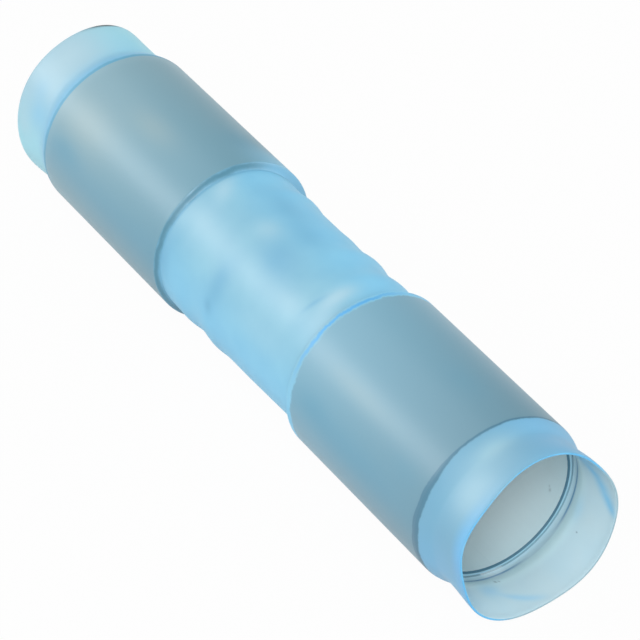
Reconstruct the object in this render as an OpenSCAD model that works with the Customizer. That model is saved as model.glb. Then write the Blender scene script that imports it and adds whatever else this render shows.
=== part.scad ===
// Butt splice for joining two wire ends by crimping, lying on its side.
// A wire barrel in the middle carries a thin grip sleeve on each end, and one
// nylon tube is stretched over all three. The axis runs along X, Z is up, and
// the origin is under the middle of the tube, on the surface that it lies on.
// Angles round the tube count from +Y towards +Z.

/* [Wire barrel] */
// Bore that takes the bare strands
wire_bore = 5.6; // [4:0.1:7]
// Wall of the barrel
barrel_wall = 1.4; // [0.8:0.1:2]
// Width of the rolled groove that stops both wires in the middle
stop_width = 2.4; // [1.2:0.1:4]
// Height of the stop inside the bore
stop_height = 0.5; // [0.2:0.05:0.7]
// Countersink at each end of the bore
barrel_chamfer = 0.6; // [0.2:0.1:0.7]

/* [Grip sleeves] */
// Length of a grip sleeve
sleeve_len = 12.15; // [10:0.05:16]
// Bare stretch of barrel between the two sleeves
sleeve_gap = 14.05; // [11:0.05:18]
// How deep the barrel sits in each sleeve
seat_depth = 6; // [4:0.1:8]
// Wall of a sleeve round the wire insulation
sleeve_wall = 0.31; // [0.2:0.01:0.6]
// How much wider the insulation bore is than the barrel's seat, each side
bore_step = 0.2; // [0.18:0.01:0.5]
// Broken edge on the cut ends of a sleeve
sleeve_edge = 0.08; // [0.02:0.01:0.09]
// How far the metal parts sit off the middle of the nylon, towards +X
metal_shift = 0.12; // [-0.4:0.01:0.4]

/* [Nylon tube] */
// Length of the skirt past each sleeve's outer end
skirt_len = 3.775; // [2.5:0.025:8]
// Wall of the nylon
nylon_wall = 0.22; // [0.12:0.01:0.4]
// Slack of the waist round the barrel
waist_slack = 0.08; // [0.02:0.01:0.6]
// Length of the step from the waist up on to a sleeve
shoulder_len = 1; // [0.6:0.1:2.5]
// Length of the step down behind a sleeve's outer end
neck_len = 1.25; // [0.8:0.05:2]
// How much wider than the insulation bore the neck is, each side
neck_slack = 0.02; // [0:0.01:0.2]
// How far the near mouth flares out from its neck, each side
near_flare = 0.22; // [0.05:0.01:0.5]
// How far the far mouth flares out from its neck, each side
far_flare = 0.14; // [0.05:0.01:0.5]
// How strongly the two mouths are out of round, as a share of what is drawn
mouth_warp = 1; // [0:0.05:1.2]
// How strongly the waist is dented and lumped, as a share of what is drawn
waist_warp = 1; // [0:0.05:1.2]
// Depth of the small flat that the soft tube has taken where it lies
rest_flat = 0.06; // [0:0.01:0.1]

/* [Fits] */
// Clearance between the barrel and its seat in a sleeve, each side
seat_clear = 0.05; // [0.02:0.01:0.2]
// Clearance between the nylon and a sleeve, each side
nylon_clear = 0.02; // [0.01:0.01:0.1]
// Nylon drawn flat past each cut end of a sleeve
end_cover = 0.03; // [0.02:0.01:0.3]

/* [Hidden] */
$fn = 96;

// Radii, from the bore outwards
wire_r = wire_bore / 2;
barrel_r = wire_r + barrel_wall;
seat_r = barrel_r + seat_clear;
bore_r = seat_r + bore_step;
sleeve_r = bore_r + sleeve_wall;
over_r = sleeve_r + nylon_clear + nylon_wall;
waist_r = barrel_r + waist_slack + nylon_wall;
neck_r = bore_r + neck_slack + nylon_wall;

// Distances from the middle of the metal parts, along the axis
barrel_len = sleeve_gap + 2 * seat_depth;
sleeve_start = sleeve_gap / 2;
sleeve_end = sleeve_start + sleeve_len;
shoulder_end = sleeve_start - end_cover;
shoulder_start = shoulder_end - shoulder_len;
neck_start = sleeve_end + end_cover;
neck_end = neck_start + neck_len;
near_rim = sleeve_end + skirt_len - metal_shift;
far_rim = sleeve_end + skirt_len + metal_shift;

// How finely the nylon is drawn: facets round it, and rings in each stretch
facets = 64;
waist_rings = 14;
shoulder_rings = 4;
sleeve_rings = 2;
neck_rings = 4;
skirt_rings = 4;
stop_steps = 12;

// Height of the axis over the surface that the tube lies on
axis_z = over_r - rest_flat;

// Waves round the two mouths: how many, how high, and the angle of a crest
near_waves = [[1, 0.18, 11], [2, 0.11, 91], [3, 0.1, -25], [4, 0.075, -19], [5, 0.07, 18], [7, 0.02, 6]];
far_waves = [[2, 0.05, -70], [3, 0.15, -16], [4, 0.12, -19], [5, 0.04, -15]];

// Lumps of the waist: place along X, angle, height, half length and half angle
lumps = [
    [0, 215, 0.12, 6, 75],
    [2.2, 35, 0.15, 0.65, 45],
    [-0.3, 35, 0.04, 0.6, 40],
    [-4.3, 35, 0.12, 0.6, 45],
    [4.9, 60, 0.16, 0.8, 55],
    [-2, 215, 0.12, 0.8, 50],
    [-4.9, 215, 0.17, 0.9, 50],
    [-0.8, 125, 0.08, 2, 30],
    [1.4, 300, 0.06, 0.9, 50],
    [-3.4, 290, 0.08, 0.8, 40]
];

// A step from 0 to 1 with a soft start and end
function ease(u) = let (v = min(max(u, 0), 1)) v * v * (3 - 2 * v);
function share(x, from, to) = (x - from) / (to - from);
function total(list) = list * [for (value = list) 1];
function turn_between(a, b) = (a - b + 900) % 360 - 180;
function bell(x, half) = exp(-pow(x / half, 2));

function waves(list, a) = total([for (w = list) w[1] * cos(w[0] * (a - w[2]))]);
function lump_height(x, a) = total([
    for (p = lumps) p[2] * bell(x - p[0], p[3]) * bell(turn_between(a, p[1]), p[4])
]);

// Outer radius of the nylon before its lumps, at distance d from the middle of
// the metal parts, on a side whose mouth is at distance rim and flares so much
function profile(d, rim, flare) = waist_r
    + (over_r - waist_r) * ease(share(d, shoulder_start, shoulder_end))
    + (neck_r - over_r) * ease(share(d, neck_start, neck_end))
    + flare * ease(share(d, neck_end, rim));

function nylon_r(x, a) =
    let (
        d = abs(x - metal_shift),
        near = x > metal_shift,
        rim = near ? near_rim : far_rim,
        in_waist = 1 - ease(share(d, shoulder_start, shoulder_end)),
        in_skirt = ease(share(d, neck_start, rim))
    )
    profile(d, rim, near ? near_flare : far_flare)
    + waist_warp * in_waist * lump_height(x, a)
    + mouth_warp * in_skirt * waves(near ? near_waves : far_waves, a);

// Where the nylon's rings lie on one side of the waist
function steps(from, to, count) = [for (i = [1 : count]) from + (to - from) * i / count];
function side_rings(rim) = concat(
    steps(shoulder_start, shoulder_end, shoulder_rings),
    steps(shoulder_end, neck_start, sleeve_rings),
    steps(neck_start, neck_end, neck_rings),
    steps(neck_end, rim, skirt_rings)
);
far_side = side_rings(far_rim);
near_side = side_rings(near_rim);
ring_x = concat(
    [for (i = [len(far_side) - 1 : -1 : 0]) metal_shift - far_side[i]],
    [metal_shift - shoulder_start],
    [for (s = steps(-shoulder_start, shoulder_start, waist_rings)) metal_shift + s],
    [for (s = near_side) metal_shift + s]
);

// Lays a shape made round the Z axis along X, at the height of the tube
module along_x() {
    translate([0, 0, axis_z]) rotate([0, 90, 0]) children();
}

// One skin of the nylon as points, shifted in from its outer face. The outer
// skin is pressed flat where it lies
function skin(inset) = [
    for (x = ring_x, k = [0 : facets - 1])
        let (a = (k + 0.5) * 360 / facets, r = nylon_r(x, a) - inset)
        [x, r * cos(a), max(axis_z + r * sin(a), 0)]
];

// The one tube of thin nylon: lumped waist, bulges over the sleeves, and skirts
// that neck in behind the metal and flare to warped, trimmed mouths
module nylon_insulator() {
    rings = len(ring_x);
    inside = rings * facets;
    last = (rings - 1) * facets;
    outer_faces = [
        for (j = [0 : rings - 2], k = [0 : facets - 1])
            let (a = j * facets + k, b = j * facets + (k + 1) % facets)
            each [[a, a + facets, b + facets], [a, b + facets, b]]
    ];
    inner_faces = [
        for (face = outer_faces) [face[0] + inside, face[2] + inside, face[1] + inside]
    ];
    far_edge = [
        for (k = [0 : facets - 1])
            let (a = k, b = (k + 1) % facets)
            each [[a, b, b + inside], [a, b + inside, a + inside]]
    ];
    near_edge = [
        for (face = far_edge) [face[0] + last, face[2] + last, face[1] + last]
    ];
    color([0.6, 0.8, 0.9])
    polyhedron(
        points = concat(skin(0), skin(nylon_wall)),
        faces = concat(outer_faces, inner_faces, far_edge, near_edge)
    );
}

// A drawn sleeve: its deeper half seats on the barrel, and its open half is a
// little wider, to close round the wire's insulation. side is 1 near, -1 far
module grip_sleeve(side) {
    seat_end = sleeve_start + seat_depth;
    start_x = metal_shift + side * sleeve_start;
    color([0.72, 0.76, 0.77])
    along_x()
    translate([0, 0, start_x])
    mirror([0, 0, side < 0 ? 1 : 0])
    rotate_extrude()
    polygon([
        [seat_r, sleeve_edge],
        [seat_r + sleeve_edge, 0],
        [sleeve_r - sleeve_edge, 0],
        [sleeve_r, sleeve_edge],
        [sleeve_r, sleeve_len - sleeve_edge],
        [sleeve_r - sleeve_edge, sleeve_len],
        [bore_r + sleeve_edge, sleeve_len],
        [bore_r, sleeve_len - sleeve_edge],
        [bore_r, seat_end - sleeve_start + bore_step],
        [seat_r, seat_end - sleeve_start]
    ]);
}

module near_grip_sleeve() {
    grip_sleeve(1);
}

module far_grip_sleeve() {
    grip_sleeve(-1);
}

// Half of the barrel's section, from its middle to one end: a groove rolled in
// from outside stands up inside as the stop that both wires meet
function groove(z) = stop_height * (1 + cos(360 * z / stop_width)) / 2;
groove_z = [for (i = [0 : stop_steps]) -stop_width / 2 + stop_width * i / stop_steps];

module wire_barrel() {
    half = barrel_len / 2;
    color([0.78, 0.77, 0.74])
    along_x()
    translate([0, 0, metal_shift])
    rotate_extrude()
    polygon(concat(
        [[wire_r + barrel_chamfer, -half], [barrel_r, -half]],
        [for (z = groove_z) [barrel_r - groove(z), z]],
        [[barrel_r, half], [wire_r + barrel_chamfer, half], [wire_r, half - barrel_chamfer]],
        [for (i = [stop_steps : -1 : 0]) [wire_r - groove(groove_z[i]), groove_z[i]]],
        [[wire_r, -half + barrel_chamfer]]
    ));
}

nylon_insulator();
near_grip_sleeve();
far_grip_sleeve();
wire_barrel();
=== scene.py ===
# %% [markdown]
# # A crimp butt splice under one nylon tube
#
# Two thin metal sleeves and a wire barrel lie inside a pale blue nylon tube. The
# tube is stretched tight over the sleeves, sags into lumps between them, and
# necks in and flares again at both mouths. The metal comes ready made from the
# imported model. This lesson gives it its finish, models the nylon in full detail,
# and sets a plain studio round it.

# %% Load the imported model
import math

import bpy
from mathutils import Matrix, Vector


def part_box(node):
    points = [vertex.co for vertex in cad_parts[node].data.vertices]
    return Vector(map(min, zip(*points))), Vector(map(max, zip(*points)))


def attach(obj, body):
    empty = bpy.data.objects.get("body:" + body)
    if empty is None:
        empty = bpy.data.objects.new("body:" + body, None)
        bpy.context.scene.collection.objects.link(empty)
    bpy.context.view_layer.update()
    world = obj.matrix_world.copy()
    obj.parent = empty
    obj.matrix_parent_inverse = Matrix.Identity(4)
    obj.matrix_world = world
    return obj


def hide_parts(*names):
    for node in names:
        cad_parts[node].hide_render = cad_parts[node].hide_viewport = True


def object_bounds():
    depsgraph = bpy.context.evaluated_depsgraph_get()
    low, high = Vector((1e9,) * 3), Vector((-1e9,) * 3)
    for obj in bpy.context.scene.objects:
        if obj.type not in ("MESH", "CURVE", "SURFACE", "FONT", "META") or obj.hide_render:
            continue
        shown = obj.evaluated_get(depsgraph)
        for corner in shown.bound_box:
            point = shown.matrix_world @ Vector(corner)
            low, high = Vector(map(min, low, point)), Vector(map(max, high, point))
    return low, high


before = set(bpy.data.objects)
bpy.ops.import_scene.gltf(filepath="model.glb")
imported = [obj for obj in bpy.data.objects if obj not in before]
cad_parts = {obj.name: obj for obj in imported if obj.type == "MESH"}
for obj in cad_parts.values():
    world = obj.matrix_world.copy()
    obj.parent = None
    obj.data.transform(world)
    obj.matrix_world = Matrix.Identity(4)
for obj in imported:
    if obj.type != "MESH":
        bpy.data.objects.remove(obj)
cad_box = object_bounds()
print("the splice measures", [round(1000 * (b - a), 2) for a, b in zip(*cad_box)], "mm")

# %% [markdown]
# Sizes are written in millimetres, as a maker would, and turned into Blender's
# metres by one factor. The metal's places could be typed in once more, but they
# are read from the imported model, so that the nylon always fits it.

# %% Read the places of the metal
MM = 0.001
near_low, near_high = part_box("near_grip_sleeve")
far_low, far_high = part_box("far_grip_sleeve")
barrel_low, barrel_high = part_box("wire_barrel")
axis_z = (near_low.z + near_high.z) / 2 / MM
sleeve_r = (near_high.z - near_low.z) / 2 / MM
barrel_r = (barrel_high.z - barrel_low.z) / 2 / MM
metal_shift = (near_low.x + far_high.x) / 2 / MM
sleeve_start = near_low.x / MM - metal_shift
sleeve_end = near_high.x / MM - metal_shift
half_len = (cad_box[1].x - cad_box[0].x) / 2 / MM
near_start, near_end = near_low.x / MM, near_high.x / MM
far_end, far_start = far_low.x / MM, far_high.x / MM
print("axis", round(axis_z, 3), "sleeve", round(sleeve_start, 3), "to", round(sleeve_end, 3))

# %% [markdown]
# The view is from the side of one mouth and from above, so that the tube runs
# from the top left to the bottom right, and one looks into the near mouth. A
# short lens would swell the near end. The long one, from further off, keeps the
# two ends at nearly the same scale.

# %% Set up the camera
view_place = (143.99, -88.24, axis_z + 128.716)
view_turn = (52.45, 0.0, 58.07)
camera_data = bpy.data.cameras.new("view")
camera_data.lens = 221.0
camera_data.sensor_width = 36.0
camera_data.clip_start = 0.01
camera_data.clip_end = 10.0
camera = bpy.data.objects.new("view", camera_data)
camera.location = [v * MM for v in view_place]
camera.rotation_euler = [math.radians(v) for v in view_turn]
bpy.context.scene.collection.objects.link(camera)
bpy.context.scene.camera = camera
print("the lens is", camera_data.lens, "mm long")

# %% [markdown]
# Materials are node trees. They could be wired by hand in the shader editor. In
# a script a few small helpers keep them readable: one places a node and sets
# its values, one does sums, one picks a number by a mask, and one starts a new
# material.


# %% Helpers for materials
def place(tree, kind, inputs=(), **settings):
    """Adds a node, sets its own settings, and fills inputs with values or links."""
    node = tree.nodes.new(kind)
    for name, value in settings.items():
        setattr(node, name, value)
    for key, value in dict(inputs).items():
        if isinstance(value, bpy.types.NodeSocket):
            tree.links.new(value, node.inputs[key])
        else:
            node.inputs[key].default_value = value
    return node


def arith(tree, operation, a, b=0.0):
    return place(tree, "ShaderNodeMath", {0: a, 1: b}, operation=operation).outputs[0]


def blend_value(tree, share, under, over):
    """The number under where share is 0, and over where it is 1."""
    return place(tree, "ShaderNodeMapRange", {
        "Value": share, "To Min": under, "To Max": over}).outputs[0]


def new_material(name):
    """An empty material with its output node."""
    made = bpy.data.materials.new(name)
    made.use_nodes = True
    made.node_tree.nodes.clear()
    out = made.node_tree.nodes.new("ShaderNodeOutputMaterial")
    return made, made.node_tree, out


print("helpers:", [helper.__name__ for helper in (place, arith, blend_value, new_material)])

# %% [markdown]
# The studio is a white room: a pale floor, an even sky, and soft lamps. Strong
# lamps could burn the room out to white, but they would wash out the nylon's
# pale blue too. So the sky and the floor show white to the camera by their own
# colour, and the lamps stay at a plain level. The floor still takes the
# object's shadow.

# %% The floor
floor_half = 1500 * MM
floor_grey = 0.62
floor_glow = 0.97
bpy.ops.mesh.primitive_plane_add(size=2 * floor_half, location=(0, 0, 0))
floor = bpy.context.active_object
floor.name = "floor"
paper, tree, out = new_material("paper_floor")
white = place(tree, "ShaderNodeEmission", {"Color": (1, 1, 1, 1), "Strength": 1.0})
matt = place(tree, "ShaderNodeBsdfDiffuse", {"Color": (floor_grey, floor_grey, floor_grey, 1)})
rays = place(tree, "ShaderNodeLightPath")
seen = arith(tree, "MAXIMUM", rays.outputs["Is Camera Ray"], rays.outputs["Is Glossy Ray"])
share = arith(tree, "MULTIPLY", seen, floor_glow)
mixed = place(tree, "ShaderNodeMixShader", {0: share, 1: matt.outputs[0], 2: white.outputs[0]})
tree.links.new(mixed.outputs[0], out.inputs["Surface"])
floor.data.materials.append(paper)
print("the floor is", 2 * floor_half, "m wide")

# %% The sky
sky_level = 0.42
sky = bpy.data.worlds.new("studio")
sky.use_nodes = True
tree = sky.node_tree
tree.nodes.clear()
rays = place(tree, "ShaderNodeLightPath")
seen = arith(tree, "MAXIMUM", rays.outputs["Is Camera Ray"], rays.outputs["Is Transmission Ray"])
glow = place(tree, "ShaderNodeBackground", {
    "Color": (1, 1, 1, 1), "Strength": blend_value(tree, seen, sky_level, 1.0)})
out = place(tree, "ShaderNodeOutputWorld", {"Surface": glow.outputs[0]})
bpy.context.scene.world = sky
bpy.context.scene.view_settings.view_transform = "Standard"
print("the sky lights the splice at", sky_level, "and looks white")

# %% [markdown]
# A satin tube shows each lamp as a streak along its length. One soft box stands
# where the streak on the upper side comes from, and a wider one beside it makes
# the broad sheen round the streak. A third one stands in front, on the side of
# the near mouth, and lights the inside of the sleeve without a shadow that
# shows. A fill from behind keeps the upper edge from going dark.


# %% The lamps
def soft_box(name, towards, distance, size, power):
    """A square area lamp that looks at the middle of the splice."""
    data = bpy.data.lights.new(name, "AREA")
    data.shape = "SQUARE"
    data.size = size * MM
    data.energy = power
    lamp = bpy.data.objects.new(name, data)
    heading = Vector(towards).normalized()
    lamp.location = Vector((0, 0, axis_z * MM)) + heading * distance * MM
    lamp.rotation_euler = heading.to_track_quat("Z", "Y").to_euler()
    bpy.context.scene.collection.objects.link(lamp)
    return lamp


lamps = [
    soft_box("key", towards=(-0.673, -0.595, 0.44), distance=300, size=100, power=0.135),
    soft_box("wide", towards=(-0.673, -0.43, 0.602), distance=300, size=460, power=0.4),
    soft_box("front", towards=(0.67, -0.42, 0.61), distance=300, size=160, power=0.55),
    soft_box("fill", towards=(0.3, 0.9, 0.3), distance=320, size=200, power=0.32),
]
print("lamps:", [round(lamp.data.energy, 2) for lamp in lamps], "W")

# %% [markdown]
# The nylon could be sculpted, but its form follows one rule: a radius for each
# place along the tube and each angle round it. So every size has a name, and a
# change of one keeps the rest in step. The tube rests on the sleeves, drops to
# the barrel in the waist, necks in behind the metal and flares to the trimmed
# mouths. Waves put the mouths out of round, and a few broad lumps dent the
# waist.

# %% The sizes of the nylon
nylon_wall = 0.22
nylon_clear = 0.02
waist_slack = 0.08
bore_wall = 0.31
neck_slack = 0.02
end_cover = 0.03
shoulder_gap = 0.08
shoulder_len = 0.3
neck_len = 1.25
near_flare = 0.22
far_flare = 0.14
rim_inset = 0.008

bore_r = sleeve_r - bore_wall
over_r = sleeve_r + nylon_clear + nylon_wall
waist_r = barrel_r + waist_slack + nylon_wall
neck_r = bore_r + neck_slack + nylon_wall
shoulder_end = sleeve_start - shoulder_gap
shoulder_start = shoulder_end - shoulder_len
neck_start = sleeve_end + end_cover
neck_end = neck_start + neck_len
near_rim = half_len - metal_shift - rim_inset
far_rim = half_len + metal_shift - rim_inset
print("over a sleeve", round(over_r, 3), "waist", round(waist_r, 3), "neck", round(neck_r, 3))

# %% Its waves and lumps
# Waves: how many round the mouth, how high, and the angle of a crest
near_waves = [
    (1, 0.18, 11), (2, 0.11, 91), (3, 0.1, -25), (4, 0.075, -19), (5, 0.07, 18), (7, 0.02, 6)]
far_waves = [(2, 0.05, -70), (3, 0.15, -16), (4, 0.12, -19), (5, 0.04, -15)]
# Lumps: place along the tube, angle, height, half length and half angle
lumps = [
    (0, 215, 0.12, 6, 75),
    (2.2, 35, 0.15, 0.65, 45),
    (-0.3, 35, 0.04, 0.6, 40),
    (-4.3, 35, 0.12, 0.6, 45),
    (4.9, 60, 0.16, 0.8, 55),
    (-2, 215, 0.12, 0.8, 50),
    (-4.9, 215, 0.17, 0.9, 50),
    (-0.8, 125, 0.08, 2, 30),
    (1.4, 300, 0.06, 0.9, 50),
    (-3.4, 290, 0.08, 0.8, 40),
    (-6.3, 165, 0.26, 0.9, 60),
    (-6.3, 78, 0.13, 0.8, 35),
]
print("the waist has", len(lumps), "lumps; the mouths have", len(near_waves + far_waves), "waves")


# %% The rule of its form
def ease(value, start, end):
    """A soft step from 0 at start to 1 at end."""
    v = min(max((value - start) / (end - start), 0), 1)
    return v * v * (3 - 2 * v)


def bell(value, half):
    """1 at 0, falling off softly on both sides."""
    return math.exp(-((value / half) ** 2))


def turn_between(a, b):
    """The turn from angle b to angle a, from -180 to 180 degrees."""
    return (a - b + 900) % 360 - 180


def nylon_radius(x, angle):
    """Outer radius of the nylon in mm, at x mm along the tube and an angle in degrees."""
    d = abs(x - metal_shift)
    near = x > metal_shift
    rim, flare = (near_rim, near_flare) if near else (far_rim, far_flare)
    on_sleeve = ease(d, shoulder_start, shoulder_end)
    radius = waist_r + (over_r - waist_r) * on_sleeve
    radius += (neck_r - over_r) * ease(d, neck_start, neck_end) + flare * ease(d, neck_end, rim)
    for place_x, place_a, height, half_x, half_a in lumps:
        side = bell(turn_between(angle, place_a), half_a)
        radius += (1 - on_sleeve) * height * bell(x - place_x, half_x) * side
    for count, height, crest in near_waves if near else far_waves:
        wave = math.cos(math.radians(count * (angle - crest)))
        radius += ease(d, neck_start, rim) * height * wave
    return radius


print("the near rim's radius on top is", round(nylon_radius(metal_shift + near_rim, 90), 3), "mm")

# %% [markdown]
# A profile spun round the axis would give a tube that is round everywhere, and
# this one isn't. So the tube starts as one circle at the far mouth, and its edge
# is extruded along the axis ring by ring, close together where the form turns
# fast. Then each point is set to the radius that the rule gives.


# %% Helpers for modelling
def start_alone():
    """Leaves edit mode and deselects everything."""
    if bpy.context.object and bpy.context.object.mode != "OBJECT":
        bpy.ops.object.mode_set(mode="OBJECT")
    bpy.ops.object.select_all(action="DESELECT")


def finish_place(piece):
    """Moves the piece's place, turn and scale into its mesh."""
    start_alone()
    piece.select_set(True)
    bpy.context.view_layer.objects.active = piece
    bpy.ops.object.transform_apply(location=True, rotation=True, scale=True)


# How many steps there are between rings in each stretch of the tube
skirt_steps, neck_steps, sleeve_steps, shoulder_steps, waist_steps = 10, 14, 26, 14, 60


def ring_places():
    """Where the nylon's rings lie along X, in mm."""
    stretches = [
        (neck_end, skirt_steps), (neck_start, neck_steps),
        (sleeve_start, sleeve_steps), (shoulder_start, shoulder_steps)]
    sides = []
    for rim in (far_rim, near_rim):
        here, places = rim, [rim]
        for target, count in stretches:
            places += [here + (target - here) * i / count for i in range(1, count + 1)]
            here = target
        sides.append(places)
    waist = [-shoulder_start + 2 * shoulder_start * i / waist_steps for i in range(1, waist_steps)]
    far_side = [metal_shift - d for d in sides[0]]
    near_side = [metal_shift + d for d in reversed(sides[1])]
    return far_side + [metal_shift + d for d in waist] + near_side


places = ring_places()
print("rings from", round(places[0], 3), "to", round(places[-1], 3), "mm")

# %% Draw the tube as one circle, extruded from mouth to mouth
around = 144
start_alone()
bpy.ops.mesh.primitive_circle_add(
    vertices=around, radius=neck_r * MM, fill_type="NOTHING",
    location=(places[0] * MM, 0, axis_z * MM), rotation=(0, math.pi / 2, 0))
nylon = bpy.context.active_object
nylon.name = "nylon_tube"
finish_place(nylon)
bpy.ops.object.mode_set(mode="EDIT")
bpy.ops.mesh.select_all(action="SELECT")
for here, there in zip(places, places[1:]):
    bpy.ops.mesh.extrude_region_move(
        TRANSFORM_OT_translate={"value": ((there - here) * MM, 0, 0)})
bpy.ops.object.mode_set(mode="OBJECT")
print("the nylon has", len(places), "rings of", around, "points")

# %% Set each point to its radius, and turn the faces outwards
# The smooth skin lies a little inside the rule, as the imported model's facets do
skin_inset = 0.008
for point in nylon.data.vertices:
    x, y, z = point.co.x / MM, point.co.y / MM, point.co.z / MM - axis_z
    angle = math.atan2(z, y)
    radius = nylon_radius(x, math.degrees(angle)) - skin_inset
    height = axis_z + radius * math.sin(angle)
    point.co = (x * MM, radius * math.cos(angle) * MM, height * MM)
bpy.ops.object.mode_set(mode="EDIT")
bpy.ops.mesh.select_all(action="SELECT")
bpy.ops.mesh.normals_make_consistent(inside=False)
bpy.ops.object.mode_set(mode="OBJECT")
first = nylon.data.polygons[0]
if first.normal.dot(Vector((0, first.center.y, first.center.z - axis_z * MM))) < 0:
    nylon.data.flip_normals()
print("the tube is", [round(v / MM, 2) for v in nylon.dimensions], "mm")

# %% [markdown]
# Each skin has a finish of its own. The slots are filled so that Solidify can
# find them by counting on: the inner skin takes the slot after the outer one's,
# and the cut edge the slot after that. The nylon over the metal has one pair of
# slots, and the skirts past it have another.

# %% Fill the nylon's slots
FILM, SKIRT = 0, 2
for name in ("film", "film_inside", "skirt", "skirt_inside", "cut_edge"):
    nylon.data.materials.append(bpy.data.materials.new("nylon_" + name))
for face in nylon.data.polygons:
    past_metal = abs(face.center.x / MM - metal_shift) > neck_start
    face.material_index = SKIRT if past_metal else FILM
print("slots:", [slot.material.name for slot in nylon.material_slots])

# %% [markdown]
# The wall could be a second tube, joined to the first at both rims. A Solidify
# modifier makes it and the cut edges in one go. It moves the inner points along
# the normals, which would fold that skin where the tube steps down from a
# sleeve. So each is then set straight towards the axis from the outer point it
# was copied from. The wall thins towards both rims, where the real tube was
# stretched as it was flared.

# %% Give the nylon its wall
rim_share = 0.6
thin_len = 1.2
outer_count = len(nylon.data.vertices)
wall = nylon.modifiers.new("wall", "SOLIDIFY")
wall.thickness = nylon_wall * MM
wall.offset = -1
wall.material_offset = 1
wall.material_offset_rim = 2
rim_bevel = nylon.modifiers.new("cut_edge", "BEVEL")
rim_bevel.width = 0.05 * MM
rim_bevel.segments = 2
rim_bevel.limit_method = "ANGLE"
rim_bevel.angle_limit = math.radians(60)
start_alone()
nylon.select_set(True)
bpy.context.view_layer.objects.active = nylon
bpy.ops.object.modifier_apply(modifier="wall")
points = nylon.data.vertices
for outer, inner in zip(points[:outer_count], points[outer_count:]):
    from_rim = half_len - abs(outer.co.x / MM)
    share = rim_share + (1 - rim_share) * ease(from_rim, 0, thin_len)
    inwards = Vector((0, -outer.co.y, axis_z * MM - outer.co.z)).normalized()
    inner.co = outer.co + inwards * nylon_wall * share * MM
print("the wall thins from", nylon_wall, "to", round(nylon_wall * rim_share, 3), "mm at the rims")

# %% Round the cut edges and press the tube flat where it lies
bpy.ops.object.modifier_apply(modifier="cut_edge")
pressed = [point for point in nylon.data.vertices if point.co.z < 0]
for point in pressed:
    point.co.z = 0
bpy.ops.object.shade_smooth_by_angle(angle=math.radians(40))
print("the nylon has", len(nylon.data.polygons), "faces;", len(pressed), "points rest on the floor")

# %% [markdown]
# The marks on the tube could be painted on an image, but an image has to be
# unwrapped and goes soft close by. So they are drawn by sums on the object's own
# coordinates. Where a mark sits is worked out once, in a node group that turns
# them into a place along the tube and an angle round it, as the rule of the form
# counts them. The other groups cut masks out of these: a band along the tube
# with a soft or crisp flank on each side, an arc round it, and a round patch.
# One more makes a straight line a little unsteady.


# %% Helpers for node groups
def grouped(tree, group, inputs):
    """Places a node group and gives its first output."""
    return place(tree, "ShaderNodeGroup", inputs, node_tree=group).outputs[0]


def noise(tree, point, scale, detail=2.0):
    """Cloudy noise from 0 to 1."""
    return place(tree, "ShaderNodeTexNoise", {
        "Vector": point, "Scale": scale, "Detail": detail}).outputs[0]


def new_group(name, inputs, outputs):
    """A shader node group with number sockets, or vectors where the name says so."""
    made = bpy.data.node_groups.new(name, "ShaderNodeTree")
    for words, side in ((inputs, "INPUT"), (outputs, "OUTPUT")):
        for word in words:
            kind = "NodeSocketVector" if word in ("Position", "Point") else "NodeSocketFloat"
            made.interface.new_socket(word, in_out=side, socket_type=kind)
    given = made.nodes.new("NodeGroupInput").outputs
    return made, given, made.nodes.new("NodeGroupOutput").inputs


def angle_apart(tree, turn, angle):
    """How far the angle of a spot is from another one, from -180 to 180 degrees."""
    apart = arith(tree, "SUBTRACT", turn, angle)
    return place(tree, "ShaderNodeMath", {
        0: apart, 1: 180.0, 2: -180.0}, operation="WRAP").outputs[0]


print("helpers:", [helper.__name__ for helper in (grouped, noise, new_group, angle_apart)])

# %% The group that finds the place on the tube
tube_place, given, result = new_group("tube_place", ["Position"], ["Point", "Along", "Turn"])
point = place(tube_place, "ShaderNodeMapping", {
    "Vector": given["Position"], "Location": (0, 0, -axis_z), "Scale": (1 / MM, 1 / MM, 1 / MM)})
parts = place(tube_place, "ShaderNodeSeparateXYZ", {0: point.outputs[0]})
turn = arith(tube_place, "ARCTAN2", parts.outputs["Z"], parts.outputs["Y"])
tube_place.links.new(point.outputs[0], result["Point"])
tube_place.links.new(parts.outputs["X"], result["Along"])
tube_place.links.new(arith(tube_place, "DEGREES", turn), result["Turn"])
print("the group", tube_place.name, "has", len(tube_place.nodes), "nodes")

# %% The groups that cut a band and an arc
band, given, result = new_group("band", ["Along", "From", "Rise", "To", "Fall"], ["Mask"])
rise_to = arith(band, "ADD", given["From"], given["Rise"])
fall_from = arith(band, "SUBTRACT", given["To"], given["Fall"])
rise = place(band, "ShaderNodeMapRange", {
    "Value": given["Along"], "From Min": given["From"], "From Max": rise_to},
    interpolation_type="SMOOTHSTEP")
fall = place(band, "ShaderNodeMapRange", {
    "Value": given["Along"], "From Min": fall_from, "From Max": given["To"],
    "To Min": 1.0, "To Max": 0.0}, interpolation_type="SMOOTHSTEP")
band.links.new(arith(band, "MULTIPLY", rise.outputs[0], fall.outputs[0]), result["Mask"])

arc, given, result = new_group("arc", ["Turn", "Angle", "Half", "Soft"], ["Mask"])
apart = arith(arc, "ABSOLUTE", angle_apart(arc, given["Turn"], given["Angle"]))
outside = place(arc, "ShaderNodeMapRange", {
    "Value": apart, "From Min": given["Half"],
    "From Max": arith(arc, "ADD", given["Half"], given["Soft"]),
    "To Min": 1.0, "To Max": 0.0}, interpolation_type="SMOOTHSTEP")
arc.links.new(outside.outputs[0], result["Mask"])
print("nodes:", {group.name: len(group.nodes) for group in (band, arc)})

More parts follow.
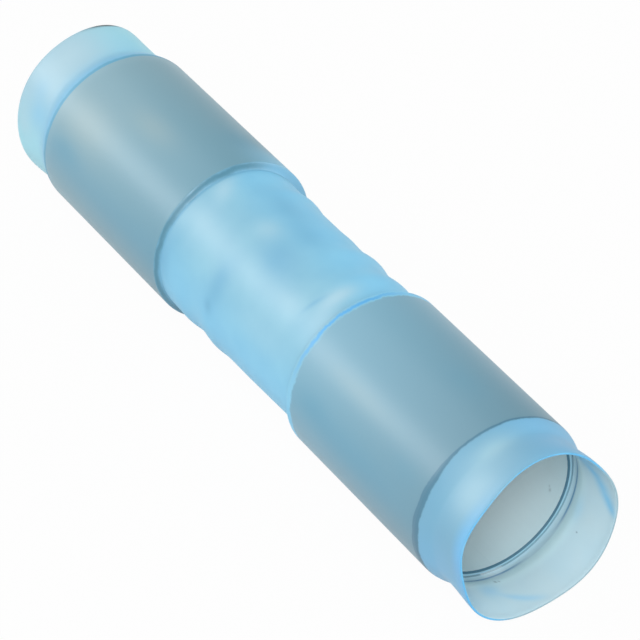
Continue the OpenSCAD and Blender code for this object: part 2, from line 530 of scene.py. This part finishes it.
# %% The groups that cut a round patch and make a line unsteady
patch, given, result = new_group(
    "patch", ["Along", "Turn", "At", "Angle", "Long", "Wide", "Slant"], ["Mask"])
across = arith(patch, "DIVIDE", angle_apart(patch, given["Turn"], given["Angle"]), given["Wide"])
slid = arith(patch, "SUBTRACT", arith(patch, "SUBTRACT", given["Along"], given["At"]),
             arith(patch, "MULTIPLY", across, given["Slant"]))
lengthwise = arith(patch, "DIVIDE", slid, given["Long"])
far_off = arith(patch, "ADD", arith(patch, "MULTIPLY", across, across),
                arith(patch, "MULTIPLY", lengthwise, lengthwise))
patch.links.new(arith(patch, "EXPONENT", arith(patch, "MULTIPLY", far_off, -1.0)), result["Mask"])

unsteady, given, result = new_group("unsteady", ["Along", "Point", "Coarse", "Fine"], ["Along"])
drawn = given["Along"]
for scale, amount in ((0.9, "Coarse"), (4.5, "Fine")):
    shake = arith(unsteady, "SUBTRACT", noise(unsteady, given["Point"], scale, 1.0), 0.5)
    drawn = arith(unsteady, "ADD", drawn, arith(unsteady, "MULTIPLY", shake, given[amount]))
unsteady.links.new(drawn, result["Along"])
print("groups:", [g.name for g in bpy.data.node_groups])

# %% [markdown]
# Thin nylon is milky and lets some light through. Over the sleeves one sees the
# grey metal under the blue. In the waist it is shrunk thicker, and shows its
# blue, with paler patches where it lies on the barrel, which also carry the lumps'
# painted sheen, and deeper patches of painted shade between the lumps. Layers of
# clear shader could do this by light alone, but they render slowly and full of
# grain. So the film is nearly opaque, and its colour says what shines through at
# each place, with painted sheen and painted shade besides.


# %% Helpers for colours and masks
def picked(red, green, blue):
    """A colour as a picker shows it, made linear for the shader."""
    def linear(v):
        v = v / 255
        return v / 12.92 if v <= 0.04045 else ((v + 0.055) / 1.055) ** 2.4
    return (linear(red), linear(green), linear(blue), 1.0)


def blend_colour(tree, share, under, over):
    """The colour under where share is 0, and over where it is 1."""
    return place(tree, "ShaderNodeMix", {
        0: share, 6: under, 7: over}, data_type="RGBA").outputs[2]


def ramp(tree, value, start, end):
    """0 up to start, 1 from end on, and a straight slope between them."""
    return place(tree, "ShaderNodeMapRange", {
        "Value": value, "From Min": start, "From Max": end}).outputs[0]


def both(tree, mask, other):
    """A mask where two masks hold, or one mask at a share of its strength."""
    return arith(tree, "MULTIPLY", mask, other)


def on_near_side(tree, along):
    """1 on the side of the near mouth, and 0 on the far one."""
    return arith(tree, "GREATER_THAN", along, 0.0)


def band_mask(tree, along, start, rise, end, fall):
    return grouped(tree, band, {
        "Along": along, "From": start, "Rise": rise, "To": end, "Fall": fall})


def arc_mask(tree, turn, angle, half, soft):
    return grouped(tree, arc, {"Turn": turn, "Angle": angle, "Half": half, "Soft": soft})


def patches(tree, along, turn, table):
    """The sum of patches: place along, angle, half length, half angle, slant and amount."""
    sum_of = 0.0
    for at, angle, long, wide, slant, amount in table:
        mask = grouped(tree, patch, {
            "Along": along, "Turn": turn, "At": at, "Angle": angle,
            "Long": long, "Wide": wide, "Slant": slant})
        sum_of = place(tree, "ShaderNodeMath", {
            0: mask, 1: amount, 2: sum_of}, operation="MULTIPLY_ADD").outputs[0]
    return place(tree, "ShaderNodeClamp", {0: sum_of}).outputs[0]


print("white paper is", [round(v, 2) for v in picked(240, 240, 240)[:3]])


# %% Helpers for the nylon's finishes
def tube_coords(tree):
    """The point in mm from the axis, and its place along the tube and its angle."""
    coords = place(tree, "ShaderNodeTexCoord")
    spot = place(tree, "ShaderNodeGroup", {0: coords.outputs["Object"]}, node_tree=tube_place)
    return [spot.outputs[name] for name in ("Point", "Along", "Turn")]


def shaken(tree, spot, along, coarse, fine):
    """The place along the tube, made unsteady by so many mm."""
    return grouped(tree, unsteady, {
        "Along": along, "Point": spot, "Coarse": coarse, "Fine": fine})


def nylon_shader(tree, colour, alpha, rough, bump_height=None):
    """A satin shader, with fine bumps where it is given a height."""
    film = place(tree, "ShaderNodeBsdfPrincipled", {
        "Base Color": colour, "Alpha": alpha, "Roughness": rough, "IOR": 1.5,
        "Specular IOR Level": 1.0})
    if bump_height:
        bump = place(tree, "ShaderNodeBump", {
            "Height": bump_height, "Strength": 0.12, "Distance": 0.02 * MM})
        tree.links.new(bump.outputs[0], film.inputs["Normal"])
    return film


def empty_tree(name):
    """The node tree of a nylon finish, with its output node."""
    made = bpy.data.materials[name]
    made.use_nodes = True
    made.node_tree.nodes.clear()
    return made.node_tree, made.node_tree.nodes.new("ShaderNodeOutputMaterial")


print("helpers:", [helper.__name__ for helper in (tube_coords, shaken, nylon_shader, empty_tree)])

# %% The film's colours
waist_pale_and_sheen, waist_shade_blue = picked(176, 216, 232), picked(106, 176, 214)
side_blues = picked(128, 210, 250), picked(146, 222, 255)
front_barrel_sheen_blues = picked(116, 182, 212), picked(148, 206, 226)
near_sleeve = picked(126, 178, 200), picked(108, 153, 172)
far_sleeve = picked(136, 176, 190), picked(111, 161, 180)
sleeve_highlight_grey, sleeve_shade_blue = picked(160, 184, 186), picked(84, 158, 188)
gap_shadow_teal, step_shade_blue, step_shadow_teal = picked(68, 126, 152), picked(112, 180, 214), picked(78, 142, 166)
fold_glow_blue, fold_glow_deep = picked(84, 178, 236), picked(84, 170, 206)
film_alpha, film_inside_alpha = 0.9, 0.7
print("the waist's pale blue is", [round(v, 2) for v in waist_pale_and_sheen[:3]])

# %% The film's patches
# Place along the tube, angle, half length, half angle, slant and amount
# Pale patches: where the nylon lies on the barrel, with the lumps' painted sheen on them. Deep
# patches: painted shade between and under the lumps.
barrel_and_sheen_patches = [
    (-5.8, 103, 0.7, 10, 0.35, 0.6), (-5.5, 128, 1.3, 13, 0, 0.35),
    (-1.4, 101, 0.9, 9, 0, 0.45), (5.55, 101, 0.5, 14, 0, 0.85),
    (6.2, 120, 0.8, 14, 0, 0.5), (3.9, 127, 1.4, 10, 0, 0.4),
    (1.0, 130, 2.6, 11, 0, 0.35), (-3.5, 130, 2.2, 11, 0, 0.35),
    (3.2, 158, 2.4, 12, 0, 0.2), (-3.0, 285, 1.6, 25, 0, 0.4),
    (2.5, 250, 1.4, 20, 0, 0.4), (0.5, 330, 2.0, 22, 0, 0.35)]
lump_shade_patches = [
    (0.8, 110, 1.4, 13, 0.3, 0.55), (-1.4, 152, 0.6, 15, 0, 0.55),
    (-1.7, 172, 0.35, 6, 0, 0.5), (-2.6, 78, 2.2, 13, 0, 0.45),
    (0.4, 84, 1.2, 10, 0, 0.35), (5.0, 116, 0.16, 9, -0.1, 0.5),
    (-6.2, 168, 0.6, 20, 0, 0.5), (-2.2, 230, 0.9, 22, 0, 0.5),
    (3.4, 300, 1.2, 20, 0, 0.4)]
# Painted highlights: the soft streak and sheen along the sleeves' lit side
sleeve_painted_highlights = [
    (-16.4, 137, 2.6, 17, 0, 0.5), (-12.6, 108, 2.0, 9, 0, 0.4), (12.0, 136, 3.0, 7, 0, 0.25)]
# Painted shade: the sleeves are darker on their lower side, and in a few places on top
sleeve_painted_shade = [
    (-13, 172, 30, 15, 0, 0.4), (-17.2, 160, 1.6, 9, 0, 0.35), (-9.2, 62, 1.2, 14, 0, 0.35),
    (13, 172, 5, 14, 0, 0.35), (9.4, 164, 1.4, 9, 0, 0.25), (17.4, 150, 1.4, 9, 0, 0.2),
    (15.5, 84, 1.5, 10, 0, 0.15)]
print("the film has", len(barrel_and_sheen_patches) + len(lump_shade_patches), "patches in the waist")

# %% Where the metal lies under the film
# The near sleeve's grey starts just within its cut end. The far one's runs on
# just past its own, under the step, and blue creeps over it from there
near_lap, far_lap = 0.2, 0.35
tree, out = empty_tree("nylon_film")
spot, along, turn = tube_coords(tree)
steady = shaken(tree, spot, along, 0.16, 0.05)
toothed = shaken(tree, spot, along, 0.3, 0.2)
over_near = band_mask(tree, toothed, near_start + near_lap, 0.2, half_len, 0.1)
over_far = band_mask(tree, steady, -half_len, 0.1, far_start + far_lap, 0.15)
creep = both(tree, band_mask(tree, along, -9.6, 2.8, -6.3, 0.2), arc_mask(tree, turn, 34, 8, 46))
creep = both(tree, creep, 0.7)
over_far = both(tree, over_far, arith(tree, "SUBTRACT", 1.0, creep))
over_metal = arith(tree, "ADD", over_near, over_far)
print("grey past", round(near_start + near_lap, 2), "and", round(far_start + far_lap, 2), "mm")

# %% Blue in the waist, grey over the metal
cloud = noise(tree, spot, 0.42)
side_blue = blend_colour(tree, cloud, *side_blues)
front_barrel_sheen_blue = blend_colour(tree, cloud, *front_barrel_sheen_blues)
# Painted sheen: the front arc is greyer, partly the barrel showing through and partly painted
# sheen, and the sides keep a stronger blue.
blue = blend_colour(tree, arc_mask(tree, turn, 128, 12, 58), side_blue, front_barrel_sheen_blue)
# Paler where the nylon lies on the barrel, with painted sheen, then painted shade between the lumps
blue = blend_colour(tree, patches(tree, along, turn, barrel_and_sheen_patches), blue, waist_pale_and_sheen)
blue = blend_colour(tree, patches(tree, along, turn, lump_shade_patches), blue, waist_shade_blue)
grey_near = blend_colour(tree, ramp(tree, along, near_start, near_end), *near_sleeve)
grey_far = blend_colour(tree, ramp(tree, along, far_end, far_start), *far_sleeve)
grey = blend_colour(tree, on_near_side(tree, along), grey_far, grey_near)
# Painted highlight and painted shade over the sleeves' grey
grey = blend_colour(tree, patches(tree, along, turn, sleeve_painted_highlights), grey, sleeve_highlight_grey)
grey = blend_colour(tree, patches(tree, along, turn, sleeve_painted_shade), grey, sleeve_shade_blue)
tinted = blend_colour(tree, over_metal, blue, grey)
print("the film's tree has", len(tree.nodes), "nodes")

# %% [markdown]
# The metal's cut ends show through the nylon as thin lines. Where the nylon
# stands clear of a step it is a deeper blue, partly the thicker fold and partly
# painted light that the fold gathers. Where it is drawn down into a narrow gap,
# and in the foot of the far step, the line is a painted shadow, and a wash of
# painted shade lies on the far step's slope. As thin rings with a shape of their
# own they would stand out as ridges, so they are bands of colour, a little
# unsteady, each with its own place along the tube and its own arc round it.

# %% The lines at the metal's ends: painted shadows, painted shade and folds with painted light
# Each band is its start, rise, end and fall in mm along the tube
# Painted shade: a wash of darker blue over the far step's slope
far_step_shade = both(tree, band_mask(tree, along, -6.85, 0.1, -6.3, 0.2), 0.7)
# Painted shadow: a dark line in the foot of the far step
far_step_shadow = both(
    tree, band_mask(tree, steady, -6.83, 0.1, -6.5, 0.2), arc_mask(tree, turn, 165, 85, 25))
# The nylon folded over the near step: a deeper blue of the thicker fold, with painted light that it
# gathers
near_step_fold_glow = both(
    tree, band_mask(tree, toothed, 7.06, 0.14, 7.42, 0.14), arc_mask(tree, turn, 110, 14, 46))
# Painted shadow: the dark line where the nylon is drawn into the gap at the near sleeve's end,
# wider on the lower side
wide_shadow = arc_mask(tree, turn, 178, 22, 45)
gap_start = blend_value(tree, wide_shadow, 19.22, 19.08)
near_end_shadow = band_mask(tree, steady, gap_start, 0.1, 20.5, 0.1)
# The fold over the far sleeve's end: deeper blue, with painted light
far_end_fold_glow = band_mask(tree, steady, -21.0, 0.1, -19.06, 0.08)
for mask, colour in (
        (far_step_shade, step_shade_blue), (far_step_shadow, step_shadow_teal), (near_step_fold_glow, fold_glow_blue),
        (near_end_shadow, gap_shadow_teal), (far_end_fold_glow, fold_glow_deep)):
    tinted = blend_colour(tree, mask, tinted, colour)
grain = noise(tree, spot, 5.0, 3.0)
rough = arith(tree, "ADD", blend_value(tree, over_metal, 0.46, 0.37), both(tree, grain, 0.08))
film = nylon_shader(tree, tinted, film_alpha, rough, grain)
tree.links.new(film.outputs[0], out.inputs["Surface"])
print("the film's tree has", len(tree.nodes), "nodes")

# %% The film's inner skin
tree, out = empty_tree("nylon_film_inside")
spot = tube_coords(tree)[0]
hazy = blend_colour(tree, noise(tree, spot, 0.5), picked(150, 196, 214), picked(166, 208, 222))
film = nylon_shader(tree, hazy, film_inside_alpha, 0.6)
tree.links.new(film.outputs[0], out.inputs["Surface"])
print("the inner skin's alpha is", film_inside_alpha)

# %% [markdown]
# Past the metal the tube is a loose skirt with nothing behind it. A single
# colour would look like paint, so its front and its sides have tones of their
# own, painted for the light and shade on the round skirt: the near skirt's front
# is darker with the painted shade of its inside seen through it, and carries
# patches of painted sheen. The far skirt has soft patches of its own, and both go
# on with the lines at the metal's ends. The near skirt is bluer, and the far one
# is paler.


# %% A helper and values for the skirts
def skirt_shader(tree, out, colour, alpha, grain):
    """The nylon's shader, rougher where the grain is high."""
    film = nylon_shader(tree, colour, alpha, blend_value(tree, grain, 0.4, 0.5), grain)
    tree.links.new(film.outputs[0], out.inputs["Surface"])


far_alpha, near_alpha, skirt_inside_alpha = 0.82, 0.88, 0.9
near_sheen_patches = [
    (20.4, 103, 0.6, 16, 0, 0.6), (21.6, 133, 1.2, 18, 0, 0.6), (21.2, 108, 1.2, 22, 0, 0.3),
    (21.0, 270, 1.4, 40, 0, 0.4)]
far_light = [
    (-21.7, 116, 1.1, 24, 0, 0.5), (-22.2, 172, 0.8, 14, 0, 0.35), (-21.4, 255, 1.2, 30, 0, 0.4)]
far_deep = [
    (-20.9, 158, 0.9, 12, 0, 0.45), (-20.7, 70, 1.1, 18, 0, 0.2), (-21.6, 142, 0.7, 8, 0, 0.2),
    (-21, 310, 1, 25, 0, 0.4)]
print("the skirts have", len(near_sheen_patches + far_light + far_deep), "patches")

# %% The near and the far skirt
tree, out = empty_tree("nylon_skirt")
spot, along, turn = tube_coords(tree)
# Painted shade: the near skirt's front is darker, with the shaded inside seen through it
near_blue = blend_colour(
    tree, arc_mask(tree, turn, 135, 25, 50), picked(120, 192, 232), picked(114, 174, 204))
# Painted sheen: paler patches on the near skirt's front
near_blue = blend_colour(
    tree, patches(tree, along, turn, near_sheen_patches), near_blue, picked(158, 202, 218))
to_rim = both(tree, band_mask(tree, along, 21.8, 1.1, 25, 0.1), arc_mask(tree, turn, 230, 60, 60))
near_blue = blend_colour(tree, to_rim, near_blue, picked(110, 190, 240))

steady = shaken(tree, spot, along, 0.16, 0.1)
# Painted light and shade: the far skirt's sides are a brighter blue and its front greyer
far_pale = blend_colour(
    tree, arc_mask(tree, turn, 126, 16, 55), picked(168, 238, 255), picked(164, 207, 224))
# The fold over the far sleeve's end, on the skirt's side: deeper blue, with a painted glow
far_glow = both(
    tree, band_mask(tree, steady, -20.9, 1.8, -18.5, 0.1), arc_mask(tree, turn, 125, 62, 35))
far_pale = blend_colour(tree, both(tree, far_glow, 0.8), far_pale, picked(108, 196, 240))
far_pale = blend_colour(
    tree, patches(tree, along, turn, far_light), far_pale, picked(186, 218, 230))
far_pale = blend_colour(
    tree, patches(tree, along, turn, far_deep), far_pale, picked(120, 204, 246))
near_side = on_near_side(tree, along)
tinted = blend_colour(tree, near_side, far_pale, near_blue)
print("the skirts' tree has", len(tree.nodes), "nodes")

# %% The painted shadow and the folds with painted light behind the metal, and the dark fleck on the far rim
# Painted shadow: the same dark line, on the skirt's side of the gap
wide_shadow = arc_mask(tree, turn, 178, 22, 45)
gap_end = blend_value(tree, wide_shadow, 19.48, 19.66)
near_end_shadow = band_mask(tree, steady, 18.0, 0.1, gap_end, 0.12)
# The fold line over the far sleeve's end goes on here, deeper blue with painted light
far_end_fold_glow = band_mask(tree, steady, -19.42, 0.2, -18.0, 0.1)
tinted = blend_colour(tree, near_end_shadow, tinted, gap_shadow_teal)
tinted = blend_colour(tree, far_end_fold_glow, tinted, fold_glow_deep)
fleck = patches(tree, along, turn, [(-22.92, 80, 0.16, 10, 0, 1.0), (-22.92, 72, 0.14, 6, 0, 1.0)])
tinted = blend_colour(tree, fleck, tinted, picked(60, 76, 80))
skirt_alpha = blend_value(tree, near_side, far_alpha, near_alpha)
skirt_shader(tree, out, tinted, skirt_alpha, noise(tree, spot, 4.0, 3.0))
print("the far skirt's alpha is", far_alpha, "and the near one's", near_alpha)

# %% [markdown]
# Inside the near mouth the nylon is paler, and paler still along the neck, where
# painted light stands against the shade that the neck's curve takes. It shows a
# thin blue ring where it meets the neck, one long crease, and a few faint
# wrinkles and specks. They could be pressed into the mesh, but they are too
# shallow to change the outline, so they stay in the colour, which costs no faces.

# %% The inside of the skirts
creases = [
    (21.7, 20, 0.42, 7, -0.16, 0.7), (21.98, 9, 0.4, 6, -0.12, 0.7),
    (22.3, 0, 0.36, 5, -0.2, 0.7), (22.6, -6, 0.3, 4, -0.2, 0.6),
    (20.9, 34, 1.2, 14, 0, 0.6), (21.7, -97, 0.22, 6, 0.3, 0.3),
    (22.05, -90, 0.22, 6, 0.3, 0.3), (22.35, -83, 0.22, 6, 0.25, 0.25),
    (20.9, -108, 0.5, 8, 0, 0.4), (20.6, -20, 0.35, 10, 0, 0.25),
    (22.0, 45, 1.2, 16, 0, 0.7), (21.6, 205, 1.4, 30, 0, 0.5)]
specks = [
    (21.14, -34, 0.05, 0.5, 0, 0.7), (20.4, -98.5, 0.07, 0.8, 0.05, 0.8),
    (20.46, -96, 0.05, 0.6, 0.05, 0.6)]
tree, out = empty_tree("nylon_skirt_inside")
spot, along, turn = tube_coords(tree)
pale = blend_colour(tree, noise(tree, spot, 0.45), picked(196, 229, 241), picked(211, 234, 240))
# Painted light: paler along the neck, against the shade that its curve takes
neck_painted_light = band_mask(tree, along, 19.86, 0.15, 21.1, 0.9)
pale = blend_colour(tree, neck_painted_light, pale, picked(220, 250, 255))
pale = blend_colour(tree, patches(tree, along, turn, creases), pale, picked(126, 206, 246))
ring_arcs = arith(
    tree, "MAXIMUM", arc_mask(tree, turn, -5, 18, 26), arc_mask(tree, turn, -112, 24, 22))
neck_ring = both(tree, band_mask(tree, along, 19.66, 0.07, 19.88, 0.07), ring_arcs)
pale = blend_colour(tree, both(tree, neck_ring, 0.85), pale, picked(84, 150, 196))
pale = blend_colour(tree, patches(tree, along, turn, specks), pale, picked(60, 105, 125))
skirt_shader(tree, out, pale, skirt_inside_alpha, noise(tree, spot, 4.0, 3.0))
print("the inside has", len(creases), "wrinkles and", len(specks), "specks")

# %% [markdown]
# The cut edge of thin nylon gathers the light that runs inside the sheet, and
# shines a strong blue along the front of the near mouth. Light that really runs
# inside the sheet would need a great many bounces. A brighter colour in a slot
# of its own gives the same thin line.

# %% The cut edges
tree, out = empty_tree("nylon_cut_edge")
spot, along, turn = tube_coords(tree)
bright = blend_colour(tree, noise(tree, spot, 1.1), picked(78, 184, 244), picked(122, 208, 250))
# Paler spots along the front edge, where the painted glow is weaker
paler_glow_spots = patches(tree, along, turn, [
    (22.9, 119, 2, 13, 0, 0.9), (22.9, 160, 2, 8, 0, 0.5), (22.9, 90, 2, 4, 0, 0.3)])
front_edge = blend_colour(tree, paler_glow_spots, bright, picked(140, 200, 232))
front = arc_mask(tree, turn, 142, 96, 22)
near_edge = blend_colour(tree, front, picked(160, 196, 208), front_edge)
fleck = patches(tree, along, turn, [(-22.95, 80, 0.3, 5, 0, 0.9), (-22.95, 72, 0.3, 2, 0, 0.8)])
far_edge = blend_colour(tree, fleck, picked(206, 228, 236), picked(70, 84, 88))
edge = blend_colour(tree, on_near_side(tree, along), far_edge, near_edge)
cut = place(tree, "ShaderNodeBsdfPrincipled", {
    "Base Color": edge, "Roughness": 0.35, "Alpha": 0.9})
tree.links.new(cut.outputs[0], out.inputs["Surface"])
print("the cut edge's tree has", len(tree.nodes), "nodes")

# %% [markdown]
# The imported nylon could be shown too, but two skins in one place would flicker
# through each other. So the modelled tube stands for it, and belongs to the
# same body as the metal.

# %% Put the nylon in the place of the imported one
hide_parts("nylon_insulator")
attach(nylon, "root")
print("finishes:", [slot.material.name for slot in nylon.material_slots])

# %% [markdown]
# The sleeves and the barrel are drawn metal with a satin tin plate. Drawing
# leaves faint streaks along the tube. Brushed metal is often made with a
# stretched highlight, but here the streaks are seen as tone, so a noise is
# stretched along X. The sleeves' bores are matt and pale, and painted paler the
# deeper in, as painted light against the shade there. Their sheared ends carry a
# dark painted shadow at the bore's edge. The sleeves are seen only through milky
# nylon or in that matt bore, so their shader isn't metallic, and the barrel's is.

# %% The streaks
streaks, given, result = new_group("drawing_streaks", ["Position"], ["Streaks"])
stretched = place(streaks, "ShaderNodeMapping", {
    "Vector": given["Position"], "Scale": (0.15 / MM, 3 / MM, 3 / MM)})
streaks.links.new(noise(streaks, stretched.outputs[0], 1.0, 4.0), result["Streaks"])
print("the group", streaks.name, "has", len(streaks.nodes), "nodes")

# %% Values for the bores and the sheared ends
# The place along the tube from which a bore is fully pale, as painted light against the shade deep
# in it
deep_end = 12.0
# How far outside the bore's radius the metal still counts as the bore, and
# where a sheared end turns from its painted shadow to its pale tone
bore_skin, lip_start, lip_end = 0.1, 0.09, 0.14
lip_painted_shadow, light_lip = picked(66, 110, 130), picked(166, 208, 224)
# Faint specks in the near bore, as a table of patches
metal_specks = [(18.34, -24.5, 0.09, 1.2, 0, 0.45), (18.2, -22.5, 0.06, 0.8, 0, 0.35)]
ends = [(near_end - 0.09, near_end + 1), (far_end - 1, far_end + 0.09)]
print("sheared ends lie at", [[round(v, 2) for v in end] for end in ends], "mm")


# %% The metals' finish
def tin_plate(name, light, dark, deep_tone, roughness, metallic, cut_ends=()):
    """Satin plated metal with faint drawing streaks along the tube."""
    made, tree, out = new_material(name)
    coords = place(tree, "ShaderNodeTexCoord")
    spot, along, turn = tube_coords(tree)
    drawn = grouped(tree, streaks, {0: coords.outputs["Object"]})
    tone = blend_colour(tree, drawn, dark, light)
    across = place(tree, "ShaderNodeVectorMath", {
        0: spot, 1: (0, 1, 1)}, operation="MULTIPLY").outputs[0]
    radius = place(tree, "ShaderNodeVectorMath", {
        0: across}, operation="LENGTH").outputs["Value"]
    # For the sleeves this is painted light: their bores are paler the deeper in
    deep_in = ramp(tree, arith(tree, "ABSOLUTE", along), near_end, deep_end)
    in_bore = arith(tree, "LESS_THAN", radius, bore_r + bore_skin)
    tone = blend_colour(tree, both(tree, deep_in, in_bore), tone, deep_tone)
    # Painted shadow: the inner edge of each sheared end is dark, for the shadowed gap by the nylon
    lip = ramp(tree, radius, bore_r + lip_start, bore_r + lip_end)
    sheared = blend_colour(tree, lip, lip_painted_shadow, light_lip)
    for start, end in cut_ends:
        tone = blend_colour(tree, band_mask(tree, along, start, 0.02, end, 0.02), tone, sheared)
    tone = blend_colour(
        tree, patches(tree, along, turn, metal_specks), tone, picked(120, 148, 156))
    rough = blend_value(tree, drawn, roughness - 0.05, roughness + 0.05)
    bump = place(tree, "ShaderNodeBump", {
        "Height": drawn, "Strength": 0.1, "Distance": 0.01 * MM})
    metal = place(tree, "ShaderNodeBsdfPrincipled", {
        "Base Color": tone, "Metallic": metallic, "Roughness": rough, "Normal": bump.outputs[0]})
    tree.links.new(metal.outputs[0], out.inputs["Surface"])
    return made


sleeve_tin = tin_plate(
    "sleeve_tin", light=picked(207, 229, 234), dark=picked(202, 224, 230),
    deep_tone=picked(246, 254, 255), roughness=0.6, metallic=0.0, cut_ends=ends)
barrel_tin = tin_plate(
    "barrel_tin", light=picked(196, 194, 188), dark=picked(168, 166, 160),
    deep_tone=picked(182, 180, 174), roughness=0.38, metallic=0.8)
print("metals:", sleeve_tin.name, "and", barrel_tin.name)

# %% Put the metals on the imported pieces
metals = {
    "near_grip_sleeve": sleeve_tin, "far_grip_sleeve": sleeve_tin, "wire_barrel": barrel_tin}
for node, metal in metals.items():
    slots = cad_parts[node].material_slots
    for slot in slots:
        slot.material = metal
    print(node, "has", len(slots), "slot")
